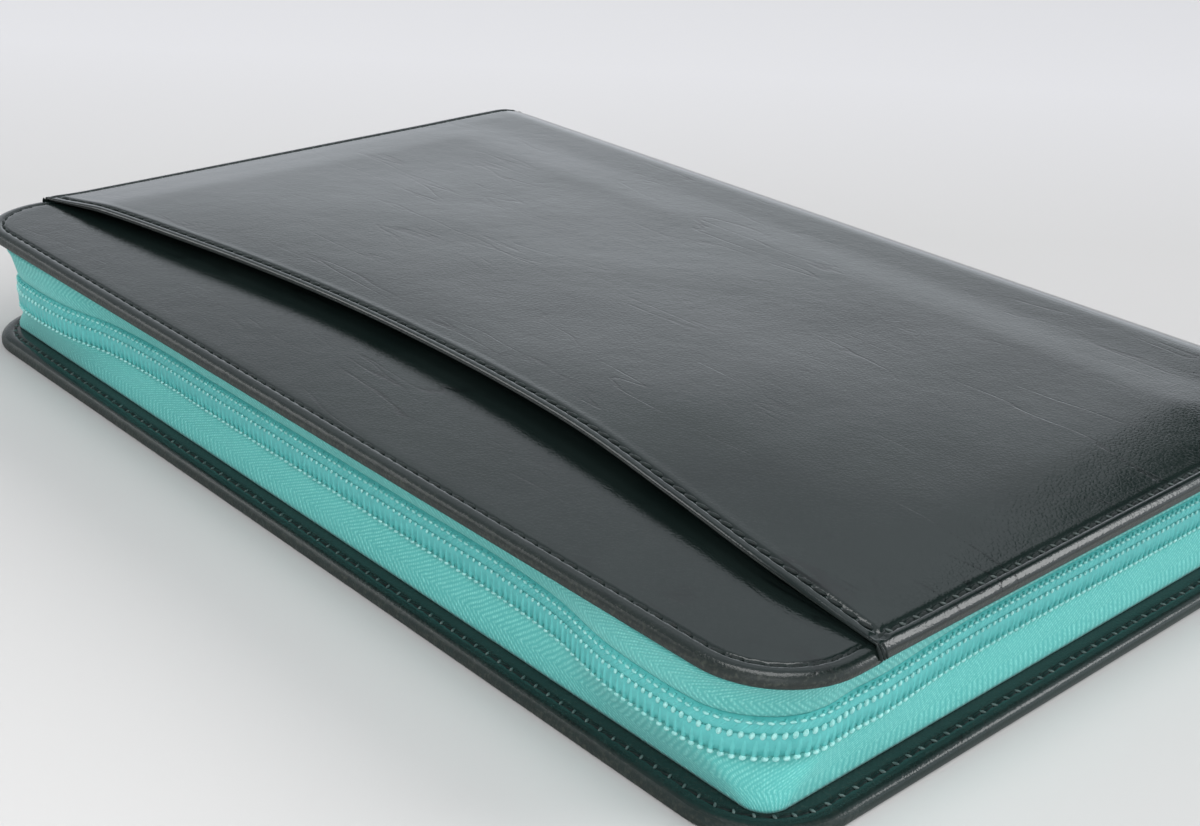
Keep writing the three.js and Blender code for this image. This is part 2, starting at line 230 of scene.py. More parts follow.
# Slider: its plates, in millimetres from its near end, their neck, the bail, and the pull with its eye.
SLIDER_Y = mm(65.85, 76.85)
SLIDER_X = (-HALF_L + 5.3 * MM, -HALF_L + 9.15 * MM)
SLIDER_Z = 14 * MM
PLATE_OUTLINE = [(0, -2.5), (2.6, -2.9), (5.4, -3.6), (8.4, -4), (11, -3.4), (11, 3.4), (8.4, 4),
                 (5.4, 3.6), (2.6, 2.9), (0, 2.5)]
PLATE_T = 1.2 * MM
PLATE_CORNER = 0.9 * MM
NECK = mm(3.2, 2.2)
NECK_INSET = 2.4 * MM
BAIL_R = 2.2 * MM
BAIL_WIRE = 0.6 * MM
BAIL_SEAT = 0.3 * MM
BAIL_SIDES = 12
BAIL_STEPS = 14
PULL_HIGH = 5.6 * MM
PULL_CORNER = 2.4 * MM
PULL_THICK = 1.3 * MM
PULL_OFF = 1.0 * MM
PULL_SIDES = 48
PULL_TAPER = 0.72
PULL_TAPER_BAND = mm(1.5, 12)
EYE_R = 1.35 * MM
EYE_INSET = 2.75 * MM
HALVINGS = 40
SHARP = math.radians(50)
METAL_EDGE = 0.28 * MM

# Colours of the finishes, dark and light where a finish lies between two.
GLAZED_GREEN = ((0.0055, 0.0105, 0.0095), (0.0100, 0.0162, 0.0148))
RUBBED_GREEN = ((0.0070, 0.0165, 0.0150), (0.0115, 0.0225, 0.0205))
# Crease colour: painted shade along the leather's creases.
CREASE_SHADE_GREEN = (0.004, 0.006, 0.006)
WORN_GREEN = (0.009, 0.014, 0.011)
FIBRE_GREY = (0.040, 0.047, 0.037)
DARK_THREAD = ((0.003, 0.006, 0.0055), (0.009, 0.016, 0.0145))
# Knot threads: pale and grey as painted glints on the thread ends of the back hem and the pocket sides.
PAINTED_GLINT_THREAD = ((0.05, 0.085, 0.08), (0.12, 0.165, 0.155))
PAINTED_SIDE_GLINT_THREAD = ((0.035, 0.048, 0.045), (0.075, 0.095, 0.09))
TEAL_TAPE = ((0.075, 0.415, 0.385), (0.30, 0.77, 0.705))
TAPE_CLOUD = (0.13, 0.52, 0.48)
# Coil nylon, one filament: darker on the core as painted shade between the teeth, paler on the teeth as
# painted light on the bars.
SHADED_TEAL_NYLON = ((0.075, 0.41, 0.395), (0.11, 0.49, 0.47))
LIT_TEAL_NYLON = ((0.085, 0.44, 0.42), (0.125, 0.53, 0.505))
# Pale chain thread: real pale stitches along the chain's lower edge, and a painted highlight on the tooth
# heads where it meets.
PALE_THREAD_AND_HEAD_GLINT = ((0.24, 0.60, 0.565), (0.40, 0.76, 0.715))
TEAL_CHAIN_THREAD = ((0.23, 0.59, 0.555), (0.38, 0.74, 0.695))
DARK_PLATING = ((0.12, 0.125, 0.13), (0.3, 0.3, 0.3))
FLOOR_GREY = ((0.535, 0.525, 0.515), (0.550, 0.540, 0.530))
FAR_FLOOR_PAINTED_LIGHT = (0.630, 0.620, 0.625)

# Weave of the tapes: a rib's length along the tape and across it beside its turn, and a weft's length.
WEAVE_ALONG = 1.32 * MM
WEAVE_FLAT = 0.82 * MM
WEAVE_STEEP = 1.5 * MM
WEAVE_TURN = 3.5 * MM
WEAVE_WAVER = 0.12 * MM
WEFT_STEP = 0.56 * MM
UPPER_WEAVE_FROM = 3 * MM

# Studio: the floor's paler far side, which is painted light, the surround by height, and the dark flag and
# dimmed side in it.
FLOOR_HALF = 20
FAR_SIDE = (-0.707, 0.707, 0.0)
FAR_BAND = (0.13, 0.30)
SKY_STOPS = [(0.0, 1.28), (0.25, 1.24), (0.33, 0.94), (0.40, 0.70), (0.46, 0.60), (0.52, 0.57),
             (0.60, 0.84), (0.70, 0.60), (0.80, 0.55), (1.0, 0.55)]
SKY_TINT = (0.94, 0.985, 1.05)
FLAG_COLOUR = (0.02, 0.025, 0.026)
FLAG_ACROSS = (0.819, 0.507, -0.267)
FLAG_NEAR = (-0.034, -0.010)
FLAG_FAR = (0.3, 0.4)
FLAG_BEHIND = (0.35, 0.5)
FLAG_FOOT = (0.362, 0.392)
DIM_SIDE = (-0.80, -0.60, 0.0)
DIM_BAND = (0.2, 0.8)
DIM_LEVEL = 0.4

# Camera of the photograph.
CAMERA_AT = Vector((244.9, -231.4, 156.3)) * MM
CAMERA_AZIMUTH = math.radians(46.93)
CAMERA_ELEVATION = math.radians(24.76)
CAMERA_ROLL = math.radians(2.29)
CAMERA_LENS = 53.07
CAMERA_SENSOR = 36
CAMERA_NEAR = 10 * MM


def read_table(table, at):
    """The smooth value of a short table of pairs, in millimetres, at a place in metres."""
    place = at / MM
    if place <= table[0][0]:
        return table[0][1] * MM
    if place >= table[-1][0]:
        return table[-1][1] * MM
    i = max(k for k in range(len(table) - 1) if table[k][0] <= place)
    (x0, y0), (x1, y1) = table[i], table[i + 1]
    slopes = []
    for k in (i, i + 1):
        a, b = table[max(k - 1, 0)], table[min(k + 1, len(table) - 1)]
        slopes.append((b[1] - a[1]) / (b[0] - a[0]))
    t = (place - x0) / (x1 - x0)
    h = x1 - x0
    value = (y0 * (2 * t ** 3 - 3 * t ** 2 + 1) + slopes[0] * h * (t ** 3 - 2 * t ** 2 + t)
             + y1 * (3 * t ** 2 - 2 * t ** 3) + slopes[1] * h * (t ** 3 - t ** 2))
    return value * MM


def smooth_step(value, low, high):
    """From 0 at low to 1 at high, level at both ends."""
    t = min(max((value - low) / (high - low), 0), 1)
    return t * t * (3 - 2 * t)


def ripple(x, y, size, seed):
    """A gentle unevenness between about -1 and 1 with waves of this size."""
    return noise.noise(Vector((x / size, y / size, seed)))


# Making and placing pieces

def new_object(name, bm, material):
    """An object in the scene, made from a bmesh and of one material."""
    mesh = bpy.data.meshes.new(name)
    bm.to_mesh(mesh)
    bm.free()
    mesh.materials.append(material)
    made = bpy.data.objects.new(name, mesh)
    bpy.context.scene.collection.objects.link(made)
    return made


def put(name, bm, material, node):
    """A finished piece from a bmesh: smooth, riding on the one body, standing for its node."""
    piece = new_object(name, bm, material)
    for face in piece.data.polygons:
        face.use_smooth = True
    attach(piece, "root")
    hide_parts(node)
    return piece


def add_wall(piece, thickness, group=""):
    """Live thickness on the inner side of a skin."""
    wall = piece.modifiers.new("wall", "SOLIDIFY")
    wall.thickness = thickness
    wall.offset = -1
    wall.use_rim = True
    wall.vertex_group = group


def push_out(bm, faces, way):
    """Extrudes faces as one region and moves it."""
    grown = bmesh.ops.extrude_face_region(bm, geom=faces)["geom"]
    bmesh.ops.translate(bm, vec=way, verts=[v for v in grown if isinstance(v, bmesh.types.BMVert)])


def sheet_of(columns, rows, place, mark):
    """A grid with one vertex for each column and row, put where place says and marked in its UVs.

    Gives the bmesh and each vertex's column and row."""
    bm = bmesh.new()
    bmesh.ops.create_grid(bm, x_segments=len(columns) - 1, y_segments=len(rows) - 1, size=0.5)
    uv = bm.loops.layers.uv.new("UVMap")
    bm.verts.layers.float.new("wear")
    bm.verts.layers.deform.verify()
    cells = {}
    for v in bm.verts:
        cells[v] = (round((v.co.x + 0.5) * (len(columns) - 1)), round((v.co.y + 0.5) * (len(rows) - 1)))
    for face in bm.faces:
        for loop in face.loops:
            loop[uv].uv = mark(*cells[loop.vert])
    for v, (i, j) in cells.items():
        v.co = place(columns[i], rows[j])
    return bm, cells


def bead(place, along, up, size, lean=0.0):
    """Where a small long ball lies along a direction: size is half its length, width and height."""
    along = along.normalized()
    side = up.cross(along).normalized()
    turn = Matrix((along, side, along.cross(side))).transposed() @ Matrix.Rotation(lean, 3, "Z")
    lay = turn @ Matrix(((0, 0, 1), (1, 0, 0), (0, 1, 0)))
    matrix = lay.to_4x4() @ Matrix.Diagonal((size[1], size[2], size[0], 1))
    matrix.translation = place
    return matrix


def string_of(beads, sides, rings):
    """A bmesh with one ball for each bead."""
    ball = bmesh.new()
    bmesh.ops.create_uvsphere(ball, u_segments=sides, v_segments=rings, radius=1)
    ball.verts.index_update()
    shape = [v.co.copy() for v in ball.verts]
    faces = [[v.index for v in f.verts] for f in ball.faces]
    ball.free()
    mesh = bpy.data.meshes.new("string")
    mesh.from_pydata([m @ p for m in beads for p in shape], [],
                     [[i + k * len(shape) for i in face] for k in range(len(beads)) for face in faces])
    bm = bmesh.new()
    bm.from_mesh(mesh)
    bpy.data.meshes.remove(mesh)
    return bm


# Pocket and spine

def mouth_y(x):
    """Where the pocket's mouth lies at this place along the cover."""
    return FRONT_Y + read_table(MOUTH_LINE, x)


def thinning(x):
    """Share of its full thickness that the pocket keeps towards its sewn sides."""
    return 1 - END_SHARE * (1 - smooth_step(HALF_L - abs(x), *END_BAND))


def edge_fall(x):
    """How far the top bends down towards its sewn sides."""
    return EDGE_FALL * (1 - smooth_step(HALF_L - abs(x), *EDGE_FALL_SIDE))


def pocket_top(x, back):
    """Height of the pocket's outer face above a place behind its mouth."""
    gap = read_table(MOUTH_GAPS, x)
    fade = 1 - smooth_step(back, 0, LIFT_REACH)
    hem = 1 - smooth_step(back, *HEM_FOLD)
    wall = thinning(x) * (POCKET_WALL + (HEM_WALL - POCKET_WALL) * hem)
    z = STRIP_TOP + gap * fade + REST_GAP * (1 - fade) + wall
    loose = smooth_step(HALF_L - abs(x), *RIPPLE_SIDE) * smooth_step(back, *RIPPLE_MOUTH)
    loose *= 1 - smooth_step(back, *RIPPLE_REAR)
    z += loose * sum(height * ripple(x, back, size, seed) for height, size, seed in RIPPLES)
    z -= edge_fall(x) * smooth_step(back, *EDGE_FALL_MOUTH)
    return z + (2 * SPINE_R - REAR_FALL - edge_fall(x) - z) * smooth_step(back, *REAR_FALL_BAND)


def pocket_columns():
    """Places across the pocket: x, fall round the side edge, share of the lip, turn of the face."""
    side = []
    for k in range(LIP_STEPS, 0, -1):
        b = math.pi / 2 * k / LIP_STEPS
        side.append((HALF_L - LIP_CURL * (1 - math.cos(b)), LIP_R, math.sin(b), math.pi / 2 + b))
    for inset, fall, turn in LIP_BEND:
        side.append((HALF_L - inset * MM, fall * MM, 0, math.radians(turn)))
    for inset in SIDE_COLUMNS:
        side.append((HALF_L - inset * MM, 0, 0, 0))
    flat = [(k * EDGE_STEP, 0, 0, 0) for k in range(-FLAT_COLUMNS, FLAT_COLUMNS + 1)]
    left = [(-x, fall, share, -a) for x, fall, share, a in side]
    return left + flat + side[::-1]


def pocket_rows():
    """Places along the wrap: kind, way from the mouth or turn round the spine, depth under the face."""
    rows = [("pocket", back * MM, deep * MM) for back, deep in MOUTH_EDGE]
    rows += [("pocket", back * MM, 0) for back in HEM_ROWS]
    length = POCKET_DEPTH - FIELD_START
    rows += [("pocket", FIELD_START + length * k / FIELD_COUNT, 0) for k in range(1, FIELD_COUNT)]
    rows += [("spine", math.pi * k / SPINE_STEPS, 0) for k in range(SPINE_STEPS + 1)]
    return rows


def dip(distance, phase):
    """How far a stitch channel sinks at this distance inside its middle: deeper at its holes."""
    reach = CHANNEL_W if distance < 0 else CHANNEL_INNER_W
    hollow = max(0, 1 - (distance / reach) ** 2) ** 2
    return hollow * (CHANNEL_D + PUCKER * math.cos(2 * math.pi * phase))


def side_phase(way):
    """Place along the side seam counted in stitches, each two rows long."""
    return (way - FIELD_START) / (POCKET_DEPTH - FIELD_START) * FIELD_COUNT / 2


def pocket_place(column, row):
    """Where a column and a row of the pocket and spine meet."""
    x, fall, share, turn = column
    kind, way, deep = row
    inner = HALF_L - abs(x)
    if kind == "spine":
        sunk = dip(inner - SIDE_SEAM, way / math.pi * SPINE_STEPS / 2) if turn == 0 else 0
        lip = SPINE_LIP + SPINE_LIP_MORE * (1 - smooth_step(way, *SPINE_LIP_TURN))
        soft = (REAR_FALL + edge_fall(x)) * (1 - smooth_step(way, *SPINE_FALL_TURN))
        radius = SPINE_R - fall - share * (lip - LIP_R) - sunk - soft
        return Vector((x, SPINE_Y + radius * math.sin(way), SPINE_R + radius * math.cos(way)))
    y = mouth_y(x) + (SPINE_Y - mouth_y(x)) * way / POCKET_DEPTH
    top = pocket_top(x, way)
    sunk = 0
    if deep == 0 and turn == 0:
        sunk = max(dip(inner - SIDE_SEAM, side_phase(way)), dip(way - MOUTH_SEAM, x / STITCH_PITCH))
    z = top - fall - share * (top - LIP_FOOT - LIP_R) - sunk
    deep *= thinning(x)
    return Vector((x - deep * math.sin(turn), y, z - deep * math.cos(turn)))


def pocket_and_spine(leather):
    """Pocket front with its turned mouth hem, side lips and the rounded spine, as one piece of leather."""
    columns, rows = pocket_columns(), pocket_rows()

    def mark(i, j):
        kind, way, deep = rows[j]
        along = way - deep if kind == "pocket" else POCKET_DEPTH + way * SPINE_R
        return (columns[i][0], along)

    bm, cells = sheet_of(columns, rows, pocket_place, mark)
    wear = bm.verts.layers.float["wear"]
    wall = bm.verts.layers.deform.active
    for v, (i, j) in cells.items():
        kind, way, deep = rows[j]
        lip = LIP_WEAR * smooth_step(abs(columns[i][3]), *LIP_WEAR_TURN)
        at_mouth = kind == "pocket" and way < MOUTH_WEAR_BACK and deep > MOUTH_WEAR_DEEP
        v[wear] = max(lip, MOUTH_WEAR if at_mouth else 0)
        v[wall][0] = HEM_SKIN if kind == "pocket" and way < HEM_REACH else 1.0
    bmesh.ops.recalc_face_normals(bm, faces=bm.faces)
    if sum(f.normal.z for f in bm.faces) < 0:
        bmesh.ops.reverse_faces(bm, faces=bm.faces)
    piece = put("pocket_and_spine", bm, leather, "leather_wrap")
    piece.vertex_groups.new(name="wall")
    add_wall(piece, POCKET_WALL, "wall")


# Covers

def inward(p, inset, rear):
    """The way in from a place on a board's outline, itself already this far in."""
    if abs(p.x) > HALF_L - CORNER_R and p.y < FRONT_Y + CORNER_R:
        centre = Vector((math.copysign(HALF_L - CORNER_R, p.x), FRONT_Y + CORNER_R, p.z))
        return (centre - p).normalized()
    if abs(p.y - rear + REAR_SHARE * inset) < TINY:
        return Vector((-p.x / (HALF_L - inset), -REAR_SHARE, 0))
    if abs(p.y - FRONT_Y - inset) < TINY:
        return Vector((0, 1, 0))
    return Vector((-math.copysign(1, p.x), 0, 0))


def step_in(bm, face, loops, up):
    """Extrudes a board's face in by a chain of insets, each with its fall; gives the rings of vertices."""
    rings = []
    rear = max(v.co.y for v in face.verts)
    sunk = 0.0
    for inset, fall in loops:
        face = bmesh.ops.extrude_discrete_faces(bm, faces=[face])["faces"][0]
        for v in face.verts:
            v.co += inward(v.co, sunk, rear) * inset - UP * fall * up
        sunk += inset
        rings.append([loop.vert for loop in face.loops])
    return rings


def nose_loops(width, height):
    """Insets and falls that round an edge from its upright face to its flat one."""
    angles = [math.pi / 2 * k / NOSE_STEPS for k in range(NOSE_STEPS + 1)]
    return [(width * (math.cos(a) - math.cos(b)), height * (math.sin(a) - math.sin(b)))
            for a, b in zip(angles, angles[1:])]


def cover_slab(rear, low, noses, loops):
    """A board with rounded front corners and edges; loops are insets and falls of its sewn upper face.

    Gives the bmesh and the places along the stitch channel."""
    upper_nose, under_nose = noses
    bm = bmesh.new()
    outline = [(-HALF_L, FRONT_Y), (HALF_L, FRONT_Y), (HALF_L, rear), (-HALF_L, rear)]
    bm.faces.new([bm.verts.new((x, y, low + under_nose[1])) for x, y in outline])
    corners = [v for v in bm.verts if v.co.y < 0]
    bmesh.ops.bevel(bm, geom=corners, offset=CORNER_R, offset_type="OFFSET", segments=CORNER_STEPS,
                    profile=0.5, affect="VERTICES", material=-1)
    for edge in [e for e in bm.edges if e.calc_length() > CORNER_R]:
        cuts = 2 * round(edge.calc_length() / (2 * EDGE_STEP)) - 1
        bmesh.ops.subdivide_edges(bm, edges=[edge], cuts=cuts)
    push_out(bm, list(bm.faces), (0, 0, COVER_T - upper_nose[1] - under_nose[1]))
    bmesh.ops.recalc_face_normals(bm, faces=bm.faces)
    under, top = sorted((f for f in bm.faces if len(f.verts) > 4), key=lambda f: f.calc_center_median().z)
    step_in(bm, under, nose_loops(*under_nose) + [(UNDER_INSET, 0)], -1)
    rings = step_in(bm, top, nose_loops(*upper_nose) + [(a * MM, b * MM) for a, b in loops], 1)
    seam_at = NOSE_STEPS + SEAM_LOOP
    seam = [v.co.copy() for v in rings[seam_at]]
    for beside, hole, puff in SEAM_PUCKERS:
        for k, v in enumerate(rings[seam_at + beside]):
            v.co.z += PUCKER * (puff if k % 2 else -hole)
    return bm, seam


def outline_inset(p):
    """How far inside the covers' outline a place lies."""
    cx, cy = HALF_L - CORNER_R, FRONT_Y + CORNER_R
    if abs(p.x) > cx and p.y < cy:
        return CORNER_R - math.hypot(abs(p.x) - cx, p.y - cy)
    return min(HALF_L - abs(p.x), p.y - FRONT_Y)


def mark_wear(bm, low, reach, least):
    """Marks how worn a cover is: most along its front nose and under it, and at least so much elsewhere."""
    wear = bm.verts.layers.float.new("wear")
    for v in bm.verts:
        inset = outline_inset(v.co)
        worn = 1 - smooth_step(inset, WEAR_START * reach, reach)
        worn *= 1 - TOP_SPARED * smooth_step(v.co.z - low, *TOP_BAND)
        worn *= 1 - SIDES_SPARED * smooth_step(v.co.y, *SIDES_BAND)
        v[wear] = max(worn, least * smooth_step(inset, *RIM_BAND))


def strip_end(x):
    """Where the open strip passes under the pocket at this side."""
    return mouth_y(math.copysign(HALF_L, x)) + STRIP_LAP


def front_cover(leather):
    """The stiff front board, its near strip showing and the rest set in between the pocket's lips."""
    bm, seam = cover_slab(PANEL_REAR, LIP_FOOT, FRONT_NOSES, FRONT_LOOPS)
    mark_wear(bm, LIP_FOOT, *FRONT_WEAR)
    for v in bm.verts:
        if v.co.y > strip_end(v.co.x):
            v.co.x *= 1 - LIP_STEP / HALF_L
    put("front_cover", bm, leather, "front_panel")
    return [p for p in seam if p.y < strip_end(p.x)]


def back_cover(leather):
    """The back half of the wrap: a board whose turned hem stands proud of the zip all round."""
    bm, seam = cover_slab(BACK_REAR, 0, BACK_NOSES, BACK_LOOPS)
    mark_wear(bm, 0, *BACK_WEAR)
    put("back_cover", bm, leather, "leather_wrap")
    return [p for p in seam if p.y < BACK_SEAM_END]


# Stitching

def in_order(points):
    """The seam's places as one open run, from its left end to its right end."""
    gaps = [(points[k] - points[k - 1]).length for k in range(len(points))]
    start = gaps.index(max(gaps))
    run = points[start:] + points[:start]
    return run if run[0].x < run[-1].x else run[::-1]


def sew(run):
    """One stitch over every two places of a run, each leaning a little across the seam."""
    beads = []
    for k in range(0, len(run) - 2, 2):
        a, b = run[k], run[k + 2]
        size = (STITCH[0] * (b - a).length / STITCH_PITCH, STITCH[1], STITCH[2])
        beads.append(bead((a + b) / 2 + UP * STITCH_LIFT, b - a, UP, size, STITCH_LEAN))
    return beads


def tie(run, lift):
    """A knot of thread in each hole of a run, made pale as a painted glint on the thread."""
    beads = []
    for k in range(2, len(run) - 1, 2):
        along = (run[k + 1] - run[k - 1]).normalized()
        beads.append(bead(run[k] + UP * lift, along.cross(UP) + along * KNOT_LEAN, UP, KNOT))
    return beads


def side_run(sign):
    """Places along the seam beside the pocket, from its mouth to the spine, half a stitch apart."""
    column = (sign * (HALF_L - SIDE_SEAM), 0, 0, 0)
    step = (POCKET_DEPTH - FIELD_START) / FIELD_COUNT
    rows = [("pocket", FIELD_START + step * k, 0) for k in range(-SIDE_LEAD, FIELD_COUNT)]
    return [pocket_place(column, row) for row in rows]


def spine_stitches(sign):
    """The same seam carried round the end of the spine."""
    column = (sign * (HALF_L - SIDE_SEAM), 0, 0, 0)
    beads = []
    for k in range(0, SPINE_STEPS - 3, 2):
        a, m, b = (pocket_place(column, ("spine", math.pi * (k + n) / SPINE_STEPS, 0)) for n in (0, 1, 2))
        out = Vector((0, m.y - SPINE_Y, m.z - SPINE_R)).normalized()
        beads.append(bead(m + out * SPINE_STITCH_LIFT, b - a, out, STITCH, STITCH_LEAN))
    return beads


def wrap_stitches(sign):
    """The few stitches wrapped over the edge at an end of the pocket's mouth."""
    along = UP - Vector((sign * WRAP_LEAN[0], WRAP_LEAN[1], 0))
    face = Vector((sign, 0, WRAP_FACE))
    mouth_end = mouth_y(sign * HALF_L)
    places = [Vector((sign * (HALF_L - WRAP_INSET), mouth_end + back, WRAP_Z)) for back in WRAP_PLACES]
    return [bead(place, along, face, WRAP_STITCH) for place in places]


def stitching(thread, hem_glint_thread, side_glint_thread, strip_seam, back_seam):
    """Every stitch of the leather: cover edges, pocket sides, spine ends, mouth and back hem."""
    seams = sew(in_order(strip_seam))
    side_glint_knots = []
    for sign in (-1, 1):
        seams += sew(side_run(sign)) + spine_stitches(sign) + wrap_stitches(sign)
        # Grey knots beside the pocket: painted glints on the thread.
        side_glint_knots += tie(side_run(sign), SIDE_KNOT_LIFT)
    columns = [(k * EDGE_STEP, 0, 0, 0) for k in range(-MOUTH_STEPS, MOUTH_STEPS + 1)]
    seams += sew([pocket_place(column, ("pocket", MOUTH_SEAM, 0)) for column in columns])
    hem = in_order(back_seam)
    seams += sew(hem)
    # Pale knots along the back hem: painted glints on the thread.
    hem_glint_knots = tie(hem, HEM_KNOT_LIFT)
    put("leather_stitches", string_of(seams, *STITCH_BALL), thread, "leather_wrap")
    put("hem_knots_painted_glint", string_of(hem_glint_knots, *KNOT_BALL), hem_glint_thread, "leather_wrap")
    put("side_knots_painted_glint", string_of(side_glint_knots, *KNOT_BALL), side_glint_thread, "leather_wrap")


# Zip

def spine_stop(z):
    """How far back the zip may run inside the spine at this height."""
    rise = min(1, abs(z - SPINE_INNER_Z) / SPINE_INNER_HIGH)
    return SPINE_Y + SPINE_INNER_DEEP * math.sqrt(1 - rise * rise) - SPINE_CLEAR


def zip_steps():
    """Even steps along half the zip, from the middle of the front to the spine."""
    steps = [("front", k / FRONT_STEPS) for k in range(FRONT_STEPS + 1)]
    steps += [("turn", math.pi / 2 * k / TURN_STEPS) for k in range(1, TURN_STEPS + 1)]
    steps += [("side", k / SIDE_STEPS) for k in range(1, SIDE_STEPS + 1)]
    return steps


def whole_zip():
    """Both halves as one run of columns: side of the cover and step."""
    steps = zip_steps()
    return [(-1, s) for s in steps[:0:-1]] + [(1, s) for s in steps]


def on_rail(step, z, inset, swell, turn, stop):
    """A place on the right half of a rail."""
    part, share = step
    centre_x = HALF_L - inset - turn
    centre_y = FRONT_Y + inset + turn
    before = centre_x * (1 - share) if part == "front" else 0
    after = (stop - centre_y) * share if part == "side" else 0
    angle = {"front": 0, "turn": share, "side": math.pi / 2}[part]
    along = turn * (angle - math.pi / 4) - before + after
    out = turn + swell * read_table(CORNER_BULGE, along)
    return Vector((centre_x - before + out * math.sin(angle), centre_y + after - out * math.cos(angle), z))


def rail_at(rails, z):
    """A rail between the given ones, read smoothly at a height."""
    values = [read_table([(r[0], r[k]) for r in rails], z) for k in (1, 2, 3)]
    return z, values[0], values[1] / MM, values[2]


def ways_along(line):
    """How far along a line of places each of them lies."""
    ways = [0.0]
    for a, b in zip(line, line[1:]):
        ways.append(ways[-1] + (b - a).length)
    return ways


def tape(name, node, rails, cloth, weave_from):
    """One zip tape: a woven strip standing between cover and teeth, gathered round the corners."""
    low, high = rails[0][0] * MM, rails[-1][0] * MM
    rows = [rail_at(rails, low + (high - low) * k / TAPE_ROWS) for k in range(TAPE_ROWS + 1)]
    columns = whole_zip()

    def place(column, row):
        sign, step = column
        p = on_rail(step, *row, spine_stop(row[0]))
        return Vector((sign * p.x, p.y, p.z))

    run = ways_along([place(column, rows[TAPE_ROWS // 2]) for column in columns])
    rise = ways_along([place((1, STRAIGHT_FRONT), row) for row in rows])
    bm, _ = sheet_of(columns, rows, place, lambda i, j: (run[i], rise[j] - weave_from))
    bmesh.ops.recalc_face_normals(bm, faces=bm.faces)
    nearest = min(bm.faces, key=lambda f: f.calc_center_median().y)
    if nearest.normal.y > 0:
        bmesh.ops.reverse_faces(bm, faces=bm.faces)
    piece = put(name, bm, cloth, node)
    add_wall(piece, TAPE_WALL)


def chain_place(column, z, inset):
    """A place on the chain, which stops short of the slider on the left and in the spine on the right."""
    sign, step = column
    stop = LEFT_END if sign < 0 else RIGHT_END
    p = on_rail(step, z, inset, 1, COIL_TURN_CENTRE - inset, stop)
    return Vector((sign * p.x, p.y, p.z))


def chain_run(z, inset, start=0.0):
    """Places a tooth apart along the chain, with the way along it."""
    line = [chain_place(column, z, inset) for column in whole_zip()]
    places = []
    left = TOOTH_PITCH * 0.5 + start
    for a, b in zip(line, line[1:]):
        length = (b - a).length
        way = (b - a).normalized()
        while left <= length:
            places.append((a + way * left, way))
            left += TOOTH_PITCH
        left -= length
    return places


def coil(name, section, tooth, lean, core_nylon, tooth_nylon):
    """One half of the chain: its core and a row of leaning teeth, half as wide and proud as tooth says."""
    rows = [(z * MM, inset * MM + CORE_SUNK) for z, inset in section]
    rows += [(rows[-1][0], COIL_BACK), (rows[0][0], COIL_BACK)]
    rows.append(rows[0])
    bm, _ = sheet_of(whole_zip(), rows, lambda column, row: chain_place(column, *row),
                     lambda i, j: (i * MM, j * MM))
    bmesh.ops.remove_doubles(bm, verts=bm.verts, dist=0.1 * TINY)
    bmesh.ops.holes_fill(bm, edges=[e for e in bm.edges if e.is_boundary], sides=0)
    bmesh.ops.recalc_face_normals(bm, faces=bm.faces)
    # The core's darker nylon is painted shade between the teeth.
    put(name + "_core", bm, core_nylon, name)
    low, high = section[0][0] * MM, section[-1][0] * MM
    face = min(inset for z, inset in section) * MM
    size = ((high - low) / 2 * math.hypot(1, lean), *tooth)
    teeth = []
    for p, way in chain_run((low + high) / 2, face + tooth[1] - TOOTH_SUNK):
        teeth.append(bead(p, UP + way * lean, way.cross(UP), size))
    # The teeth's paler nylon is painted light on the tooth bars.
    put(name + "_teeth", string_of(teeth, *TOOTH_BALL), tooth_nylon, name)


def corner_growth(p):
    """How much bigger stitches are near the rounded corners, where the chain fans open."""
    apart = math.hypot(abs(p.x) - FAN_CENTRE[0], p.y - FAN_CENTRE[1])
    return 1 + CORNER_GROWTH * (1 - smooth_step(apart, *FAN_BAND))


def chain_stitches_and_head_glints(pale, dim):
    """Sewing of the chain: dashes along its lower edge, tooth heads where it meets made pale as a painted
    highlight, dashes above.
    """
    bright = []
    for p, way in chain_run(*EDGE_ROW):
        out = way.cross(UP)
        growth = corner_growth(p)
        size = (DASH[0], DASH[1] * growth, DASH[2] * growth)
        bright.append(bead(p + out * DASH_OUT, way + UP * DASH_LEAN, out, size))
    # Tooth heads where the coils meet: pale beads of painted highlight.
    for p, way in chain_run(*MEET_ROW):
        out = way.cross(UP)
        size = [v * corner_growth(p) for v in GRAIN]
        bright.append(bead(p + out * GRAIN_OUT, UP + way * GRAIN_LEAN, out, size))
    put("chain_stitches_and_painted_head_glints", string_of(bright, *TOOTH_BALL), pale, "zip_coil_lower")
    soft = []
    for p, way in chain_run(*UPPER_ROW, UPPER_START):
        out = way.cross(UP)
        soft.append(bead(p + out * SPECK_OUT, way + UP * SPECK_LEAN, out, SPECK))
    put("chain_soft_stitches", string_of(soft, *SPECK_BALL), dim, "zip_coil_upper")


def slider_plate(bm, x):
    """One face plate of the slider: waisted, wider at its open end, with softened corners."""
    corners = [bm.verts.new((x, SLIDER_Y[0] + y * MM, SLIDER_Z + z * MM)) for y, z in PLATE_OUTLINE]
    bm.faces.new(corners)
    bmesh.ops.bevel(bm, geom=corners, offset=PLATE_CORNER, offset_type="OFFSET", segments=3, profile=0.5,
                    affect="VERTICES", material=-1)
    here = [f for f in bm.faces if abs(f.calc_center_median().x - x) < TINY]
    push_out(bm, [max(here, key=lambda f: f.calc_area())], (PLATE_T, 0, 0))


def pull_reach(angle, ahead):
    """How far the pull's rounded outline lies from the middle of its eye in a direction."""
    half_long, half_high = (EYE_INSET + ahead) / 2, PULL_HIGH / 2
    middle = (EYE_INSET - ahead) / 2
    near, far = 0.0, 2 * half_long
    for _ in range(HALVINGS):
        r = (near + far) / 2
        y, z = abs(r * math.cos(angle) - middle), abs(r * math.sin(angle))
        over_y, over_z = max(y - half_long + PULL_CORNER, 0), max(z - half_high + PULL_CORNER, 0)
        near, far = (r, far) if math.hypot(over_y, over_z) < PULL_CORNER else (near, r)
    return near


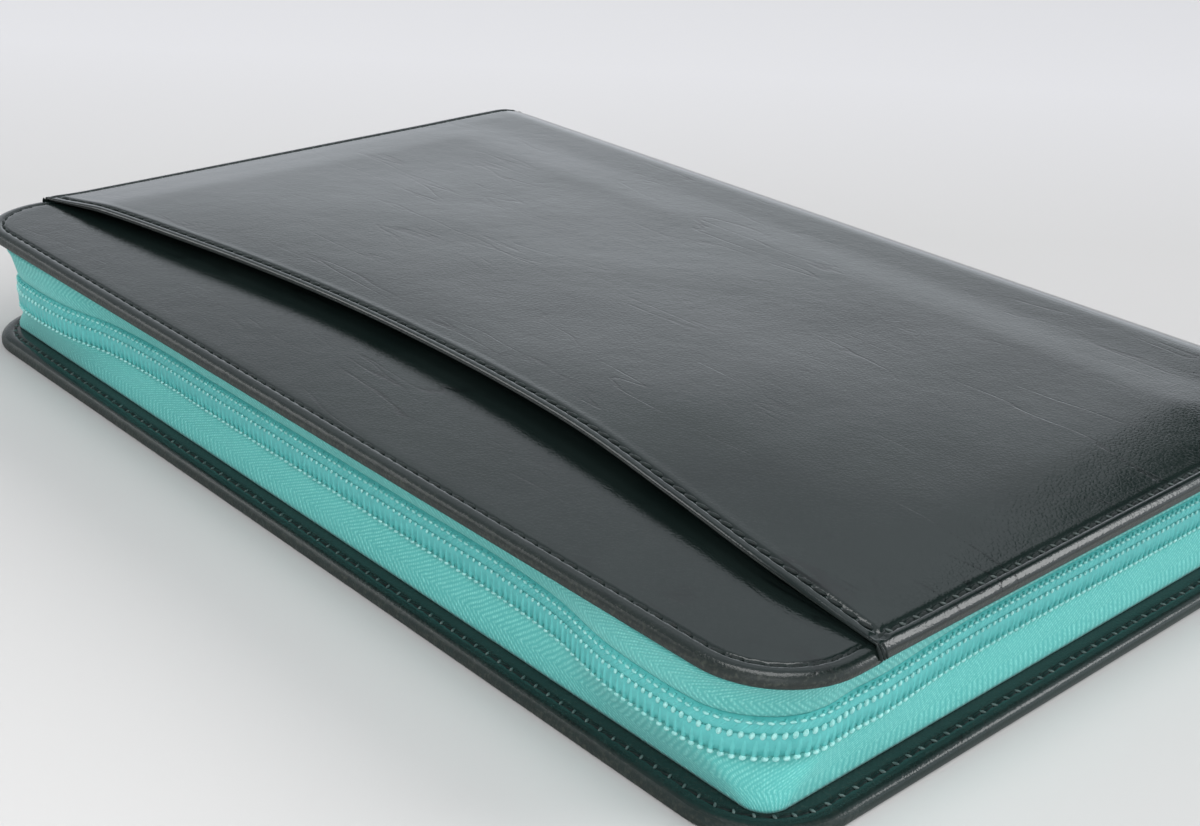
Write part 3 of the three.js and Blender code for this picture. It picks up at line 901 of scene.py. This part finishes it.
def pull_tab(bm, eye_y, low_y):
    """The flat pull: a tapering tab with a round eye that hangs in the bail."""
    x = SLIDER_X[0] - PULL_OFF - PULL_THICK
    rims = []
    for outer in (False, True):
        ring = bmesh.ops.create_circle(bm, segments=PULL_SIDES, radius=1, cap_ends=False)["verts"]
        for v in ring:
            angle = math.atan2(v.co.y, v.co.x)
            reach = pull_reach(angle, eye_y - low_y) if outer else EYE_R
            y, z = reach * math.cos(angle), reach * math.sin(angle)
            taper = PULL_TAPER + (1 - PULL_TAPER) * smooth_step(-y, *PULL_TAPER_BAND) if outer else 1
            v.co = Vector((x, eye_y + y, SLIDER_Z + z * taper))
        rims += dict.fromkeys(e for v in ring for e in v.link_edges)
    bridge = bmesh.ops.bridge_loops(bm, edges=rims)
    push_out(bm, bridge["faces"], (PULL_THICK, 0, 0))


def bail(bm, y):
    """A bent wire standing on the outer plate, which carries the pull."""
    x = SLIDER_X[0] + BAIL_SEAT
    foot = Matrix.Translation((x, y - BAIL_R, SLIDER_Z)) @ Matrix.Rotation(math.pi / 2, 4, "Y")
    ring = bmesh.ops.create_circle(bm, segments=BAIL_SIDES, radius=BAIL_WIRE, cap_ends=True,
                                   matrix=foot)["verts"]
    edges = dict.fromkeys(e for v in ring for e in v.link_edges)
    faces = dict.fromkeys(f for v in ring for f in v.link_faces)
    bmesh.ops.spin(bm, geom=[*ring, *edges, *faces], cent=(x, y, SLIDER_Z), axis=(0, 0, -1), angle=math.pi,
                   steps=BAIL_STEPS)


def slider(metal):
    """Slider at the far left end of the zip: waisted plates on a neck, a bail and a flat pull."""
    low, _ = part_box("zip_slider")
    middle = sum(SLIDER_Y) / 2
    bm = bmesh.new()
    slider_plate(bm, SLIDER_X[0])
    slider_plate(bm, SLIDER_X[1] - PLATE_T)
    neck_place = Matrix.Translation((sum(SLIDER_X) / 2, SLIDER_Y[1] - NECK_INSET, SLIDER_Z))
    neck_size = Matrix.Diagonal((SLIDER_X[1] - SLIDER_X[0] - PLATE_T, *NECK, 1))
    bmesh.ops.create_cube(bm, size=1, matrix=neck_place @ neck_size)
    pull_tab(bm, middle - BAIL_R, low[1])
    sharp = [e for e in bm.edges if len(e.link_faces) == 2 and e.calc_face_angle(0) > SHARP]
    bmesh.ops.bevel(bm, geom=sharp, offset=METAL_EDGE, offset_type="OFFSET", segments=3, profile=0.5,
                    affect="EDGES", material=-1, clamp_overlap=True)
    bail(bm, middle)
    bmesh.ops.recalc_face_normals(bm, faces=bm.faces)
    put("zip_slider_dressed", bm, metal, "zip_slider")


# Finishes

def start_finish(name):
    """A new material with its node tree, shader and the piece's own coordinates."""
    finish = bpy.data.materials.new(name)
    finish.use_nodes = True
    tree = finish.node_tree
    shader = tree.nodes["Principled BSDF"]
    where = tree.nodes.new("ShaderNodeTexCoord")
    return finish, tree, shader, where


def add_node(tree, kind, inputs=None, **settings):
    """A node with its settings; an input is a value or the socket that feeds it."""
    made = tree.nodes.new(kind)
    for key, value in settings.items():
        setattr(made, key, value)
    for key, value in (inputs or {}).items():
        if isinstance(value, bpy.types.NodeSocket):
            tree.links.new(value, made.inputs[key])
        else:
            made.inputs[key].default_value = value
    return made


def speckle(tree, where, scale, detail=3.0, rough=0.5, warp=0.0):
    """Noise at this many waves a metre."""
    return add_node(tree, "ShaderNodeTexNoise", {"Vector": where, "Scale": scale, "Detail": detail,
                                                "Roughness": rough, "Distortion": warp}).outputs["Fac"]


def between(tree, value, low, high, new_low=0.0, new_high=1.0):
    """A value moved from one range to another."""
    made = add_node(tree, "ShaderNodeMapRange", {"Value": value, "From Min": low, "From Max": high,
                                                 "To Min": new_low, "To Max": new_high})
    return made.outputs["Result"]


def sums(tree, operation, first, second=0):
    """One step of arithmetic."""
    return add_node(tree, "ShaderNodeMath", {0: first, 1: second}, operation=operation).outputs[0]


def way_along(tree, place, direction):
    """How far a place lies along a direction."""
    made = add_node(tree, "ShaderNodeVectorMath", {0: place, 1: direction}, operation="DOT_PRODUCT")
    return made.outputs["Value"]


def shade(tree, share, first, second):
    """A colour between two."""
    made = add_node(tree, "ShaderNodeMix", {"Factor": share}, data_type="RGBA")
    for socket, value in ((made.inputs[6], first), (made.inputs[7], second)):
        if isinstance(value, bpy.types.NodeSocket):
            tree.links.new(value, socket)
        else:
            socket.default_value = (*value, 1)
    return made.outputs[2]


def relief(tree, height, strength, distance, under=None):
    """A bump from a height, on top of another."""
    made = add_node(tree, "ShaderNodeBump", {"Height": height, "Strength": strength, "Distance": distance})
    if under is not None:
        tree.links.new(under, made.inputs["Normal"])
    return made.outputs["Normal"]


def feed(tree, shader, colour, rough, skin):
    """Gives a shader its colour, roughness and relief."""
    for name, socket in (("Base Color", colour), ("Roughness", rough), ("Normal", skin)):
        tree.links.new(socket, shader.inputs[name])


def glazed_leather(name, dark, light, shine):
    """Near-black green calf with a soft gloss: fine grain, creases with painted shade in them, clouding and
    rubbed edges.
    """
    finish, tree, shader, where = start_finish(name)
    place = where.outputs["Object"]
    cloud = speckle(tree, place, 26, 4, 0.6, 0.4)
    fine = speckle(tree, place, 2600, 2, 0.6)
    pore = add_node(tree, "ShaderNodeTexVoronoi", {"Vector": place, "Scale": 1150, "Randomness": 1.0},
                    feature="DISTANCE_TO_EDGE").outputs["Distance"]
    turned = add_node(tree, "ShaderNodeMapping", {"Vector": place, "Rotation": (0, 0, 0.2),
                                                  "Scale": (0.16, 1.0, 1.0)}).outputs["Vector"]
    crease = speckle(tree, turned, 105, 2.5, 0.5, 0.2)
    thin = between(tree, sums(tree, "ABSOLUTE", sums(tree, "SUBTRACT", crease, 0.5)), 0.0, 0.016)
    creased = between(tree, speckle(tree, place, 38, 3, 0.6), 0.46, 0.63)
    furrow = sums(tree, "MULTIPLY", sums(tree, "SUBTRACT", 1.0, thin), creased)
    worn = add_node(tree, "ShaderNodeAttribute", attribute_name="wear").outputs["Fac"]
    patch = between(tree, speckle(tree, place, 420, 4, 0.7), 0.32, 0.68, 0.15, 1.0)
    patchy = sums(tree, "MULTIPLY", worn, patch)
    grit = speckle(tree, place, 1500, 3, 0.7)
    fibre = sums(tree, "MULTIPLY", worn, between(tree, grit, 0.5, 0.68))
    colour = shade(tree, between(tree, cloud, 0.35, 0.7), dark, light)
    # Darker along the creases: painted shade.
    colour = shade(tree, furrow, colour, CREASE_SHADE_GREEN)
    colour = shade(tree, patchy, colour, WORN_GREEN)
    colour = shade(tree, fibre, colour, FIBRE_GREY)
    rough = between(tree, cloud, 0.3, 0.75, 0.09, 0.14)
    rough = sums(tree, "ADD", rough, sums(tree, "MULTIPLY", worn, 0.36))
    skin = relief(tree, fine, 0.16, 0.08 * MM)
    skin = relief(tree, between(tree, pore, 0.0, 0.22), 0.1, 0.08 * MM, skin)
    skin = relief(tree, sums(tree, "SUBTRACT", 1.0, furrow), 0.22, 0.1 * MM, skin)
    skin = relief(tree, speckle(tree, place, 170, 3, 0.55), 0.08, 0.6 * MM, skin)
    skin = relief(tree, sums(tree, "MULTIPLY", worn, grit), 0.55, 0.3 * MM, skin)
    feed(tree, shader, colour, rough, skin)
    shader.inputs["IOR"].default_value = 1.5
    shader.inputs["Specular IOR Level"].default_value = shine
    return finish


def waxed_thread(name, dark, light, rough, shine=0.5):
    """Twisted sewing thread."""
    finish, tree, shader, where = start_finish(name)
    twist = speckle(tree, where.outputs["Object"], 1500, 2, 0.5)
    feed(tree, shader, shade(tree, between(tree, twist, 0.35, 0.65), dark, light),
         between(tree, twist, 0.3, 0.7, rough - 0.08, rough + 0.08), relief(tree, twist, 0.5, 0.2 * MM))
    shader.inputs["Specular IOR Level"].default_value = shine
    return finish


def woven_tape(name, dark, light):
    """Teal zip tape: a fine herringbone whose ribs turn at a line along the tape, broken and fuzzy."""
    finish, tree, shader, where = start_finish(name)
    place = where.outputs["Object"]
    split = add_node(tree, "ShaderNodeSeparateXYZ", {"Vector": where.outputs["UV"]})
    along, across = split.outputs["X"], split.outputs["Y"]
    waver = between(tree, speckle(tree, place, 420, 2, 0.5), 0.3, 0.7, -WEAVE_WAVER, WEAVE_WAVER)
    inner = sums(tree, "ADD", sums(tree, "SUBTRACT", across, WEAVE_TURN), waver)
    turned = sums(tree, "MINIMUM", sums(tree, "DIVIDE", inner, WEAVE_STEEP),
                  sums(tree, "DIVIDE", inner, -WEAVE_FLAT))
    waves = sums(tree, "ADD", sums(tree, "DIVIDE", along, WEAVE_ALONG), turned)
    rib = sums(tree, "SINE", sums(tree, "MULTIPLY", waves, 2 * math.pi))
    rib = between(tree, rib, -1.0, 1.0)
    weft = sums(tree, "SINE", sums(tree, "MULTIPLY", along, 2 * math.pi / WEFT_STEP))
    weft = between(tree, weft, -1.0, 1.0, 0.35, 1.0)
    rib = sums(tree, "MULTIPLY", rib, weft)
    cloud = speckle(tree, place, 90, 3, 0.6)
    fuzz = speckle(tree, place, 1900, 3, 0.65)
    thread = sums(tree, "MULTIPLY", rib, between(tree, fuzz, 0.35, 0.62, 0.1, 1.0))
    colour = shade(tree, thread, dark, light)
    colour = shade(tree, between(tree, cloud, 0.3, 0.7, 0.0, 0.35), colour, TAPE_CLOUD)
    feed(tree, shader, colour, between(tree, fuzz, 0.3, 0.7, 0.62, 0.82),
         relief(tree, thread, 0.55, 0.18 * MM))
    shader.inputs["Sheen Weight"].default_value = 0.12
    return finish


def dyed_nylon(name, dark, light):
    """Coil of moulded nylon filament, a little glossy."""
    finish, tree, shader, where = start_finish(name)
    streak = speckle(tree, where.outputs["Object"], 700, 3, 0.6)
    feed(tree, shader, shade(tree, between(tree, streak, 0.3, 0.7), dark, light),
         between(tree, streak, 0.3, 0.7, 0.32, 0.5), relief(tree, streak, 0.3, 0.15 * MM))
    return finish


def plated_metal(name, dark, light):
    """Dark plated die casting with a brushed, slightly rubbed face."""
    finish, tree, shader, where = start_finish(name)
    place = where.outputs["Object"]
    stretched = add_node(tree, "ShaderNodeMapping", {"Vector": place, "Scale": (1, 0.08, 1)})
    brush = speckle(tree, stretched.outputs["Vector"], 3200, 3, 0.6)
    rub = speckle(tree, place, 210, 4, 0.6)
    feed(tree, shader, shade(tree, between(tree, rub, 0.35, 0.7), dark, light),
         between(tree, brush, 0.3, 0.7, 0.26, 0.42), relief(tree, brush, 0.12, 0.1 * MM))
    shader.inputs["Metallic"].default_value = 1.0
    return finish


# Floor, light and camera

def floor():
    """A wide plain pale floor, painted a little paler towards the back for the brighter light there."""
    finish, tree, shader, where = start_finish("pale_floor")
    place = where.outputs["Object"]
    colour = shade(tree, speckle(tree, place, 5, 3, 0.5), *FLOOR_GREY)
    # Paler far side: painted light.
    far = between(tree, way_along(tree, place, FAR_SIDE), *FAR_BAND)
    tree.links.new(shade(tree, far, colour, FAR_FLOOR_PAINTED_LIGHT), shader.inputs["Base Color"])
    shader.inputs["Roughness"].default_value = 0.75
    bm = bmesh.new()
    bmesh.ops.create_grid(bm, x_segments=1, y_segments=1, size=FLOOR_HALF)
    plane = new_object("floor", bm, finish)


def sky():
    """Soft studio surround, brightest low down and dimmer at the left, with a dark flag behind."""
    world = bpy.data.worlds.new("studio")
    bpy.context.scene.world = world
    world.use_nodes = True
    tree = world.node_tree
    background = tree.nodes["Background"]
    where = add_node(tree, "ShaderNodeTexCoord").outputs["Generated"]
    split = add_node(tree, "ShaderNodeSeparateXYZ", {"Vector": where})
    ramp = add_node(tree, "ShaderNodeValToRGB", {"Fac": split.outputs["Z"]})
    while len(ramp.color_ramp.elements) < len(SKY_STOPS):
        ramp.color_ramp.elements.new(0.5)
    for element, (at, level) in zip(ramp.color_ramp.elements, SKY_STOPS):
        element.position = at
        element.color = (*(level * tint for tint in SKY_TINT), 1)
    across = way_along(tree, where, FLAG_ACROSS)
    near_edge = between(tree, across, *FLAG_NEAR)
    far_edge = between(tree, across, *FLAG_FAR, 1.0, 0.0)
    width = sums(tree, "MULTIPLY", near_edge, far_edge)
    behind = between(tree, split.outputs["Y"], *FLAG_BEHIND)
    foot = between(tree, split.outputs["Z"], *FLAG_FOOT)
    flag = sums(tree, "MULTIPLY", width, sums(tree, "MULTIPLY", behind, foot))
    tree.links.new(shade(tree, flag, ramp.outputs["Color"], FLAG_COLOUR), background.inputs["Color"])
    level = between(tree, way_along(tree, where, DIM_SIDE), *DIM_BAND, 1.0, DIM_LEVEL)
    tree.links.new(level, background.inputs["Strength"])


def strip_light(name, place, aim, size, power, mirrored=True):
    """A softbox facing a point, mirrored in the gloss or kept out of it."""
    light = bpy.data.lights.new(name, "AREA")
    light.shape = "RECTANGLE"
    light.size, light.size_y = size
    light.energy = power
    lamp = bpy.data.objects.new(name, light)
    lamp.location = place
    lamp.rotation_euler = (Vector(aim) - Vector(place)).to_track_quat("-Z", "Y").to_euler()
    lamp.visible_glossy = mirrored
    lamp.visible_camera = False
    bpy.context.scene.collection.objects.link(lamp)


def low_sun(name, towards, strength, spread):
    """Wide soft light from one side that gives the floor its shadow and leaves the gloss alone."""
    light = bpy.data.lights.new(name, "SUN")
    light.energy = strength
    light.angle = math.radians(spread)
    lamp = bpy.data.objects.new(name, light)
    lamp.rotation_euler = (-Vector(towards)).to_track_quat("-Z", "Y").to_euler()
    lamp.visible_glossy = False
    bpy.context.scene.collection.objects.link(lamp)


def lights():
    """Softboxes for edges and gloss, and the sun for the shadow."""
    strip_light("edge_light", (0.706, 0.776, 0.498), (0.12, -0.03, 0.028), size=(0.3, 0.26), power=1.3)
    low_sun("side_sun", towards=(0.42, 0.68, 0.5), strength=1.7, spread=34)
    strip_light("left_light", (-0.742, -0.465, 0.55), (0, -0.05, 0.03), size=(0.35, 0.35), power=1.2)
    strip_light("top_light", (-0.1, 0.1, 1.6), (0, 0, 0), size=(0.8, 0.8), power=8)
    strip_light("front_light", (0.433, -0.417, 0.405), (0.10, -0.07, 0.02), size=(0.22, 0.22), power=0.5)
    strip_light("fill_light", (0.16, -0.32, 0.24), (0.05, -0.08, 0.01), size=(0.25, 0.25), power=0.5,
                mirrored=False)


def camera():
    """The photograph's view."""
    data = bpy.data.cameras.new("camera")
    data.lens = CAMERA_LENS
    data.sensor_width = CAMERA_SENSOR
    data.clip_start = CAMERA_NEAR
    back = Vector((math.sin(CAMERA_AZIMUTH) * math.cos(CAMERA_ELEVATION),
                   -math.cos(CAMERA_AZIMUTH) * math.cos(CAMERA_ELEVATION), math.sin(CAMERA_ELEVATION)))
    right = UP.cross(back).normalized()
    above = back.cross(right)
    c, s = math.cos(CAMERA_ROLL), math.sin(CAMERA_ROLL)
    turn = Matrix((right * c + above * s, above * c - right * s, back)).transposed()
    eye = bpy.data.objects.new("camera", data)
    eye.matrix_world = Matrix.Translation(CAMERA_AT) @ turn.to_4x4()
    bpy.context.scene.collection.objects.link(eye)
    bpy.context.scene.camera = eye


def build():
    """The studio, then the leather, its stitching and the zip."""
    bpy.context.scene.view_settings.view_transform = "Standard"
    camera()
    floor()
    sky()
    lights()
    leather = glazed_leather("glazed_green_leather", *GLAZED_GREEN, shine=0.5)
    matt_leather = glazed_leather("rubbed_green_leather", *RUBBED_GREEN, shine=0.4)
    pocket_and_spine(leather)
    strip_seam = front_cover(leather)
    back_seam = back_cover(matt_leather)
    stitching(waxed_thread("dark_thread", *DARK_THREAD, rough=0.5, shine=0.3),
              waxed_thread("painted_glint_thread", *PAINTED_GLINT_THREAD, rough=0.6),
              waxed_thread("painted_side_glint_thread", *PAINTED_SIDE_GLINT_THREAD, rough=0.55),
              strip_seam, back_seam)
    cloth = woven_tape("teal_tape", *TEAL_TAPE)
    tape("lower_tape_cloth", "zip_tape_lower", LOWER_RAILS, cloth, 0)
    tape("upper_tape_cloth", "zip_tape_upper", UPPER_RAILS, cloth, UPPER_WEAVE_FROM)
    core = dyed_nylon("teal_nylon_painted_shade", *SHADED_TEAL_NYLON)
    teeth = dyed_nylon("teal_nylon_painted_light", *LIT_TEAL_NYLON)
    coil("zip_coil_lower", LOWER_COIL, LOWER_TOOTH, LOWER_LEAN, core, teeth)
    coil("zip_coil_upper", UPPER_COIL, UPPER_TOOTH, UPPER_LEAN, core, teeth)
    chain_stitches_and_head_glints(waxed_thread("pale_chain_thread_and_painted_head_glint", *PALE_THREAD_AND_HEAD_GLINT, rough=0.6),
                   waxed_thread("teal_chain_thread", *TEAL_CHAIN_THREAD, rough=0.6))
    slider(plated_metal("dark_plating", *DARK_PLATING))


build()
